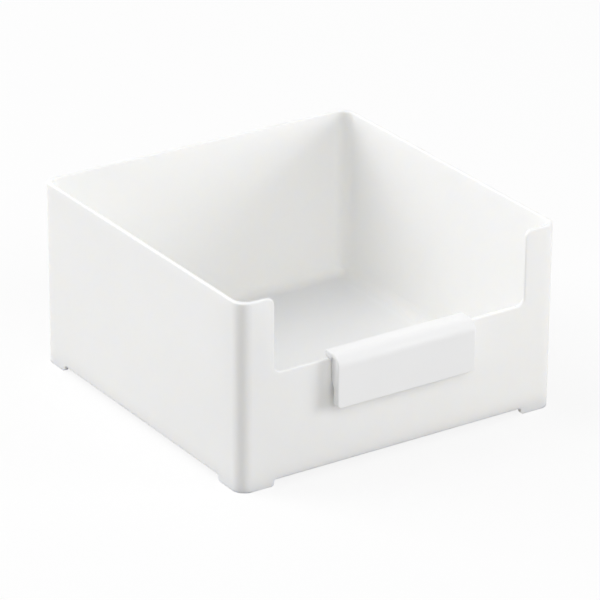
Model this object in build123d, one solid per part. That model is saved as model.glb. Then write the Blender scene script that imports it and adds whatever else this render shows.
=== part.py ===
from build123d import *
import os
from math import radians, tan

# A square organizer tray, moulded in one piece, with a low scooped front edge between two narrow
# flanges and an L-shaped foot under each corner. A separate pull clips over the scooped edge.
# Millimetres. +Z is up and the front faces -Y. The origin is on the surface that the tray stands
# on, at the middle of the overall box, which takes in the pull.

# Tray shell
tray_width = 200.0
tray_depth = 200.0
tray_height = 107.0
wall = 2.3                  # at the rim
floor_thickness = 2.3
corner_radius = 7.5         # outside, in plan
inner_corner_radius = 7.5   # inside, in plan, at the rim
core_draft = 0.3            # degrees that the inner faces lean, so that the moulding leaves its core
floor_fillet = 6.5          # inside, between floor and walls
rim_round = 0.9

# Corner feet: short skirts in line with the outer faces
foot_height = 3.6
foot_leg = 21.0             # along each wall, from the outer corner
foot_wall = 2.3
foot_toe_round = 2.0
foot_root_round = 1.0

# Scooped front edge
flange_width = 21.0         # full-height wall left at each end of the front
front_edge_height = 64.4    # from the surface below to the scooped edge
scoop_low_radius = 4.5
flange_top_radius = 4.5

# Clip-on pull
pull_width = 87.0
pull_x = -2.0               # the clip is set by hand, a little to the left of the middle
pull_reach = 8.6            # from the front wall's outer face to the plate's front face
hood_rise = 3.8             # top of the hood above the scooped edge
hood_thickness = 2.3
hood_bend_radius = 6.5      # outside of the bend from hood to plate
hood_inner_radius = 3.0
hood_back_radius = 1.2      # the hood's back corners, in plan
pull_edge_round = 0.8
plate_drop = 25.9           # bottom of the plate below the scooped edge
plate_top_thickness = 2.3
plate_low_thickness = 4.2
plate_corner_radius = 2.5
seat_lip = 1.5              # how far the seat reaches in front of the wall
leg_thickness = 1.2
leg_drop = 12.0             # bottom of the inner leg below the scooped edge
leg_inset = 3.0             # from each end of the pull
rib_thickness = 2.0
rib_inset = 1.5             # from each end of the pull
rib_drop = 12.7             # below the scooped edge, where the rib leaves the wall
rib_toe_drop = 20.4         # below the scooped edge, where the rib runs out on the plate

# Clearances
clip_gap = 0.3              # between the pull and the wall that it grips

# Places worked out from the sizes
tray_y = pull_reach / 2
front_y = tray_y - tray_depth / 2
floor_top = foot_height + floor_thickness
scoop_half = tray_width / 2 - flange_width
draft_slope = tan(radians(core_draft))
small = 0.01


def inner_lean(z):
    """How much thicker a wall is at height z than at the rim."""
    return (tray_height - z) * draft_slope


def plan_block(width, depth, radius, low, high):
    """Upright block with rounded corners in plan, on the tray's centre."""
    return Pos(0, tray_y, low) * extrude(RectangleRounded(width, depth, radius), high - low)


def inside_space():
    """The space inside the tray, narrower at the floor than at the rim."""
    mouth = RectangleRounded(tray_width - 2 * wall, tray_depth - 2 * wall, inner_corner_radius)
    depth_inside = tray_height - floor_top
    space = extrude(Pos(0, tray_y, tray_height) * mouth, depth_inside, dir=(0, 0, -1), taper=core_draft)
    return fillet(space.edges().group_by(Axis.Z)[0], floor_fillet)


def foot_gap(length, through):
    """The gap between two feet, as a bar along X that goes right through along Y."""
    opening = Pos(0, foot_height / 2) * Rectangle(length, foot_height)
    root = min(foot_root_round, foot_height / 3)
    opening = fillet(opening.vertices().group_by(Axis.Y)[-1], root)
    return extrude(Plane.XZ * opening, through / 2, both=True)


def foot_spaces():
    """Everything that is taken away below the floor to leave the four L-shaped feet."""
    recess = plan_block(tray_width - 2 * foot_wall, tray_depth - 2 * foot_wall,
                        max(corner_radius - foot_wall, small), 0, foot_height)
    across = foot_gap(tray_width - 2 * foot_leg, tray_depth + 2 * foot_wall)
    along = Rot(0, 0, 90) * foot_gap(tray_depth - 2 * foot_leg, tray_width + 2 * foot_wall)
    return recess + Pos(0, tray_y, 0) * (across + along)


def toe_edges(body):
    """The lowest edges across the ends of the feet's legs."""
    side_x = tray_width / 2 - foot_leg
    side_y = tray_depth / 2 - foot_leg
    low = body.edges().filter_by_position(Axis.Z, -small, small)
    across = [e for e in low.filter_by(Axis.Y) if abs(abs(e.center().X) - side_x) < small]
    along = [e for e in low.filter_by(Axis.X) if abs(abs(e.center().Y - tray_y) - side_y) < small]
    return across + along


def scoop_space():
    """The opening cut down through the front wall."""
    height = tray_height - front_edge_height
    opening = Pos(0, front_edge_height + height / 2) * Rectangle(2 * scoop_half, height)
    opening = fillet(opening.vertices().group_by(Axis.Y)[0], scoop_low_radius)
    reach = wall + inner_lean(front_edge_height)
    return Pos(0, front_y + reach, 0) * extrude(Plane.XZ * opening, 2 * reach)


def flange_top_edges(body):
    """The sharp corners at the top of the scoop, one on each flange."""
    top = body.edges().filter_by_position(Axis.Z, tray_height - small, tray_height + small)
    return [e for e in top.filter_by(Axis.Y) if abs(abs(e.center().X) - scoop_half) < small]


def outline_edges(faces):
    """Edges that only one of the faces has."""
    edges = [e for f in faces for e in f.edges()]
    return [e for e in edges if sum(e.is_same(other) for other in edges) == 1]


def rim_faces(body):
    """The faces across the wall's thickness, round the top and through the scoop."""
    top = list(body.faces().filter_by(Axis.Z).group_by(Axis.Z)[-1])
    thickest = wall + inner_lean(front_edge_height) + small
    scoop = []
    for face in body.faces():
        box = face.bounding_box()
        across = wall - small < box.size.Y < thickest
        in_front = box.min.Y < front_y + small
        above = box.min.Z > front_edge_height - small
        if across and in_front and above and abs(face.center().X) < scoop_half + flange_top_radius:
            scoop.append(face)
    return top + scoop


def tray_body():
    """The one-piece moulding: floor, walls, scooped front and feet."""
    body = plan_block(tray_width, tray_depth, corner_radius, 0, tray_height)
    body = body - inside_space() - foot_spaces() - scoop_space()
    body = fillet(toe_edges(body), min(foot_toe_round, foot_height * 0.6))
    body = fillet(flange_top_edges(body), flange_top_radius)
    return fillet(outline_edges(rim_faces(body)), min(rim_round, wall * 0.43))


# The pull's section is drawn forward of the wall's outer face and up from the surface below
hood_top = front_edge_height + hood_rise
hood_under = hood_top - hood_thickness
seat_z = front_edge_height + clip_gap
plate_low = front_edge_height - plate_drop
leg_low = front_edge_height - leg_drop
leg_front = -(wall + inner_lean(leg_low) + clip_gap)
leg_back = leg_front - leg_thickness


def section(points):
    """Closed face from points given as (forward of the wall, height)."""
    return make_face(Polyline(*points, close=True))


def round_corner(face, point, radius):
    """The face with its corner nearest the point rounded."""
    nearest = min(face.vertices(), key=lambda v: (v.X - point[0]) ** 2 + (v.Y - point[1]) ** 2)
    return fillet(nearest, radius)


def across_front(face, width):
    """A section made solid along X, both ways from the middle."""
    upright = Plane(origin=(0, front_y, 0), x_dir=(0, -1, 0), z_dir=(-1, 0, 0))
    return extrude(upright * face, width / 2, both=True)


def plate_back(z):
    """How far forward of the wall the back of the plate is at height z."""
    low_share = (hood_under - z) / (hood_under - plate_low)
    return pull_reach - plate_top_thickness - low_share * (plate_low_thickness - plate_top_thickness)


def hood_and_plate():
    """The visible part of the pull: hood, bend and front plate."""
    top_front = (pull_reach, hood_top)
    inner_bend = (plate_back(hood_under), hood_under)
    face = section([
        (leg_back, seat_z), (leg_back, hood_top), top_front, (pull_reach, plate_low),
        (plate_back(plate_low), plate_low), inner_bend, (seat_lip, hood_under), (seat_lip, seat_z),
    ])
    face = round_corner(face, top_front, hood_bend_radius)
    face = round_corner(face, inner_bend, hood_inner_radius)
    body = across_front(face, pull_width)
    low = body.edges().filter_by(Axis.Y).filter_by_position(Axis.Z, plate_low - small, plate_low + small)
    body = fillet(low, plate_corner_radius)
    back = body.edges().filter_by(Axis.Z).group_by(Axis.Y)[-1]
    body = fillet(back, hood_back_radius)
    return fillet(outline_edges(skin_faces(body)), min(pull_edge_round, plate_top_thickness * 0.4))


def skin_faces(body):
    """The pull's outer skin: the top of the hood, the bend and the front of the plate."""
    skin = []
    for face in body.faces():
        box = face.bounding_box()
        spans = box.size.X > pull_width / 2 and box.min.Y < front_y
        on_top = box.max.Z > hood_top - small
        in_front = box.min.Y < front_y - pull_reach + small and box.max.Z > plate_low + small
        if spans and (on_top or in_front):
            skin.append(face)
    return skin


def end_rib():
    """A rib that stiffens the bend and bears on the front of the wall."""
    mid_z = hood_top - hood_thickness / 2
    mid_out = pull_reach - plate_top_thickness / 2
    toe_z = front_edge_height - rib_toe_drop
    low_z = front_edge_height - rib_drop
    face = section([(clip_gap, low_z), (clip_gap, mid_z), (mid_out, mid_z), (mid_out, toe_z),
                    (plate_back(toe_z), toe_z)])
    bend = min(hood_bend_radius - hood_thickness / 2, (mid_out - clip_gap) * 0.9)
    return across_front(round_corner(face, (mid_out, mid_z), bend), rib_thickness)


def inner_leg():
    """The leg behind the wall, narrower than the hood."""
    face = section([(leg_back, leg_low), (leg_back, hood_under), (leg_front, hood_under),
                    (leg_front, leg_low)])
    face = round_corner(face, (leg_front, leg_low), leg_thickness / 3)
    face = round_corner(face, (leg_back, leg_low), leg_thickness / 3)
    return across_front(face, pull_width - 2 * leg_inset)


def front_pull():
    """The clip-on pull: hood and plate, an inner leg and a rib near each end."""
    rib_x = (pull_width - rib_thickness) / 2 - rib_inset
    ribs = [Pos(x, 0, 0) * end_rib() for x in (-rib_x, rib_x)]
    return Pos(pull_x, 0, 0) * (hood_and_plate() + inner_leg() + ribs)


os.makedirs("parts", exist_ok=True)
export_step(tray_body(), "parts/tray_body.step")
export_step(front_pull(), "parts/front_pull.step")
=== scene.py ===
import math

import bmesh
import bpy
from mathutils import Matrix, Vector


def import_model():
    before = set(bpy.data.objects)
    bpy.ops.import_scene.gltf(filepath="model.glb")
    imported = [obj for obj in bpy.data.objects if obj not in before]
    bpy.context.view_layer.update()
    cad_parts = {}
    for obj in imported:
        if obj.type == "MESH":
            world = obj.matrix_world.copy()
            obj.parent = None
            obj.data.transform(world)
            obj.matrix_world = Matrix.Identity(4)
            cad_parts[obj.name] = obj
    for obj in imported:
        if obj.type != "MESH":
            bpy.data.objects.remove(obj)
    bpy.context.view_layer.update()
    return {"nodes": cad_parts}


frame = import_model()

# The photograph's camera: a long lens from the front left and above. Metres and degrees. An angle
# around is counted from the front towards the right, and an angle above from the floor up.
CAMERA_AROUND = -33.475
CAMERA_ABOVE = 24.071
CAMERA_ROLL = 0.363
CAMERA_DISTANCE = 2.12467
CAMERA_AIM = Vector((-0.00024, 0.00032, 0.05031))
CAMERA_LENS_MM = 235.64
SENSOR_WIDTH_MM = 36.0
NEAREST_SEEN = 0.1
FARTHEST_SEEN = 20.0

# The studio, in metres: square softboxes round a wide paper floor
SOFTBOX_SIZE = 2.0
SOFTBOX_DISTANCE = 4.0
FLOOR_HALF_WIDTH = 6.0
FLOOR_PLAIN_WHITE = 0.85    # share of the floor's look; the rest is paper that takes the shadow

TRAY_MIDDLE = Vector((0, 0, 0.05))
MM = 0.001

# The plastic. The mould's grain is really about 0.1 mm, too fine to show in the render, so it is
# drawn as coarse as it needs to show.
GRAIN = 0.6 * MM
GRAIN_DEPTH = 0.05 * MM
GRAIN_STRENGTH = 0.14
RIPPLE = 14 * MM            # slow waves that the walls have from cooling
RIPPLE_DEPTH = 0.02 * MM
RIPPLE_STRENGTH = 0.25
FLOW_CLOUDS = 45 * MM       # the melt's flow, in tone and in gloss
GLOSSIER = 0.42             # roughness where a cloud is glossiest
DULLER = 0.5                # and where it is dullest
PLASTIC_IOR = 1.49
LIGHT_REACH = 3.0 * MM      # how far light spreads inside, red farthest and blue least
REACH_BY_COLOUR = (1.0, 0.95, 0.85)


def linear(hex_colour):
    """An sRGB hex colour as the linear colour with alpha that Blender's sockets take."""
    channels = [int(hex_colour[i:i + 2], 16) / 255 for i in (1, 3, 5)]
    return [c / 12.92 if c <= 0.04045 else ((c + 0.055) / 1.055) ** 2.4 for c in channels] + [1.0]


def add_node(tree, kind, settings=None, **sockets):
    """Adds a node with its settings.

    A socket is called by its name, or as i and its number where names repeat. It is given a value,
    or a (node, output) pair to link from.
    """
    node = tree.nodes.new(kind)
    for name, value in (settings or {}).items():
        setattr(node, name, value)
    for name, value in sockets.items():
        socket = node.inputs[int(name[1:]) if name[1:].isdigit() else name.replace("_", " ")]
        if isinstance(value, tuple) and isinstance(value[0], bpy.types.Node):
            tree.links.new(value[0].outputs[value[1]], socket)
        else:
            socket.default_value = value
    return node


def new_material(name):
    """An empty node material, and its tree."""
    material = bpy.data.materials.new(name)
    material.use_nodes = True
    material.node_tree.nodes.clear()
    return material, material.node_tree


def moulded_polypropylene(name, colour, flow_colour, offset, inner_light):
    """White polypropylene, injection moulded in a steel mould with a fine spark-eroded grain.

    It is satin: reflections are broad and weak, and the grain breaks them up. Light spreads a few
    millimetres inside, which softens the shade at edges and makes the thin rim look bright. The
    melt's flow leaves very slight clouds in tone and in gloss. offset moves the clouds, so that
    two mouldings differ. inner_light is how much of the light goes in: all of it in the tray's
    thin walls, less in the thicker pull.
    """
    material, tree = new_material(name)
    place = add_node(tree, "ShaderNodeTexCoord")
    shifted = add_node(tree, "ShaderNodeMapping", Vector=(place, "Object"), Location=offset)
    grain = add_node(tree, "ShaderNodeTexNoise", Vector=(shifted, "Vector"), Scale=1 / GRAIN,
                     Detail=2.0, Roughness=0.6)
    ripple = add_node(tree, "ShaderNodeTexNoise", Vector=(shifted, "Vector"), Scale=1 / RIPPLE,
                      Detail=1.0, Roughness=0.4)
    clouds = add_node(tree, "ShaderNodeTexNoise", Vector=(shifted, "Vector"), Scale=1 / FLOW_CLOUDS,
                      Detail=3.0, Roughness=0.5)
    tint = add_node(tree, "ShaderNodeMix", {"data_type": "RGBA"}, i0=(clouds, "Fac"),
                    i6=linear(colour), i7=linear(flow_colour))
    rough = add_node(tree, "ShaderNodeMapRange", Value=(clouds, "Fac"), From_Min=0.3, From_Max=0.7,
                     To_Min=GLOSSIER, To_Max=DULLER)
    waves = add_node(tree, "ShaderNodeBump", Strength=RIPPLE_STRENGTH, Distance=RIPPLE_DEPTH,
                     Height=(ripple, "Fac"))
    bump = add_node(tree, "ShaderNodeBump", Strength=GRAIN_STRENGTH, Distance=GRAIN_DEPTH,
                    Height=(grain, "Fac"), Normal=(waves, "Normal"))
    shader = add_node(tree, "ShaderNodeBsdfPrincipled", Base_Color=(tint, 2),
                      Roughness=(rough, "Result"), Normal=(bump, "Normal"), IOR=PLASTIC_IOR,
                      Subsurface_Weight=inner_light, Subsurface_Radius=REACH_BY_COLOUR,
                      Subsurface_Scale=LIGHT_REACH)
    add_node(tree, "ShaderNodeOutputMaterial", Surface=(shader, "BSDF"))
    return material


def finish_node(name, material):
    """Gives a CAD node its finish."""
    for material_slot in frame["nodes"][name].material_slots:
        material_slot.material = material


# The tray is a touch warmer than the pull, which comes from a mould of its own. The pull's lighter
# white is partly its own and partly painted light, which lifts its front to a tone the lamps don't
# give it
finish_node("tray_body", moulded_polypropylene(
    "white_moulded_polypropylene_tray", "#F7F7F6", "#F4F4F3", (0, 0, 0), 1.0))
finish_node("front_pull", moulded_polypropylene(
    "white_moulded_polypropylene_pull", "#FAFAFA", "#F8F8F8", (0.3, 0.1, 0.2), 0.15))


def sees_white(tree):
    """1 for camera, glossy and transmission rays, to which floor and room look plain white."""
    rays = add_node(tree, "ShaderNodeLightPath")
    either = add_node(tree, "ShaderNodeMath", {"operation": "MAXIMUM"}, i0=(rays, "Is Camera Ray"),
                      i1=(rays, "Is Glossy Ray"))
    return add_node(tree, "ShaderNodeMath", {"operation": "MAXIMUM"}, i0=(either, "Value"),
                    i1=(rays, "Is Transmission Ray"))


def floor():
    """A wide pale paper floor that looks white, apart from the tray's soft shadow.

    It throws less light back up than it seems to, so that the tray's upright corner keeps its
    shade. From below it is see-through, so that the tray's underside can be looked at.
    """
    shape = bmesh.new()
    bmesh.ops.create_grid(shape, x_segments=1, y_segments=1, size=FLOOR_HALF_WIDTH)
    mesh = bpy.data.meshes.new("floor")
    shape.to_mesh(mesh)
    shape.free()
    ground = bpy.data.objects.new("floor", mesh)
    bpy.context.scene.collection.objects.link(ground)
    material, tree = new_material("white_paper_sweep")
    facing = add_node(tree, "ShaderNodeNewGeometry")
    paper = add_node(tree, "ShaderNodeBsdfDiffuse", Color=linear("#F2F2F2"))
    dull_paper = add_node(tree, "ShaderNodeBsdfDiffuse", Color=linear("#C4C4C4"))
    white = add_node(tree, "ShaderNodeEmission", Strength=1.0)
    seen = add_node(tree, "ShaderNodeMixShader", i0=FLOOR_PLAIN_WHITE, i1=(paper, "BSDF"),
                    i2=(white, "Emission"))
    shown = add_node(tree, "ShaderNodeMixShader", i0=(sees_white(tree), "Value"),
                     i1=(dull_paper, "BSDF"), i2=(seen, "Shader"))
    clear = add_node(tree, "ShaderNodeBsdfTransparent")
    both = add_node(tree, "ShaderNodeMixShader", i0=(facing, "Backfacing"), i1=(shown, "Shader"),
                    i2=(clear, "BSDF"))
    add_node(tree, "ShaderNodeOutputMaterial", Surface=(both, "Shader"))
    mesh.materials.append(material)


def direction(around, above):
    """The unit vector from the tray towards something at these angles, in degrees."""
    a = math.radians(around)
    e = math.radians(above)
    return Vector((math.sin(a) * math.cos(e), -math.cos(a) * math.cos(e), math.sin(e)))


def camera():
    """The camera of the photograph."""
    data = bpy.data.cameras.new("camera")
    data.lens = CAMERA_LENS_MM
    data.sensor_width = SENSOR_WIDTH_MM
    data.clip_start = NEAREST_SEEN
    data.clip_end = FARTHEST_SEEN
    seen_from = bpy.data.objects.new("camera", data)
    towards = direction(CAMERA_AROUND, CAMERA_ABOVE)
    level = (-towards).to_track_quat("-Z", "Y").to_matrix().to_4x4()
    roll = Matrix.Rotation(math.radians(CAMERA_ROLL), 4, "Z")
    seen_from.matrix_world = Matrix.Translation(CAMERA_AIM + CAMERA_DISTANCE * towards) @ level @ roll
    bpy.context.scene.collection.objects.link(seen_from)
    bpy.context.scene.camera = seen_from


def softbox(name, around, above, power):
    """A softbox aimed at the tray. Its power is in watts."""
    towards = direction(around, above)
    data = bpy.data.lights.new(name, "AREA")
    data.shape = "SQUARE"
    data.size = SOFTBOX_SIZE
    data.energy = power
    lamp = bpy.data.objects.new(name, data)
    lamp.location = TRAY_MIDDLE + SOFTBOX_DISTANCE * towards
    lamp.rotation_euler = (-towards).to_track_quat("-Z", "Y").to_euler()
    bpy.context.scene.collection.objects.link(lamp)


def world(strength):
    """Even light from all round, and white behind the tray."""
    sky = bpy.data.worlds.new("white_room")
    sky.use_nodes = True
    tree = sky.node_tree
    tree.nodes.clear()
    level = add_node(tree, "ShaderNodeMapRange", Value=(sees_white(tree), "Value"),
                     To_Min=strength, To_Max=1.0)
    room = add_node(tree, "ShaderNodeBackground", Color=(1, 1, 1, 1), Strength=(level, "Result"))
    add_node(tree, "ShaderNodeOutputWorld", Surface=(room, "Background"))
    bpy.context.scene.world = sky


floor()
camera()
softbox("low_back_left_softbox", -135, 16, 46)
softbox("high_back_left_softbox", -135, 40, 47)
softbox("top_back_left_softbox", -135, 66, 36)
softbox("front_softbox", -15, 40, 29)
softbox("front_right_softbox", 45, 16, 67)
world(0.34)
bpy.context.scene.view_settings.view_transform = "Standard"
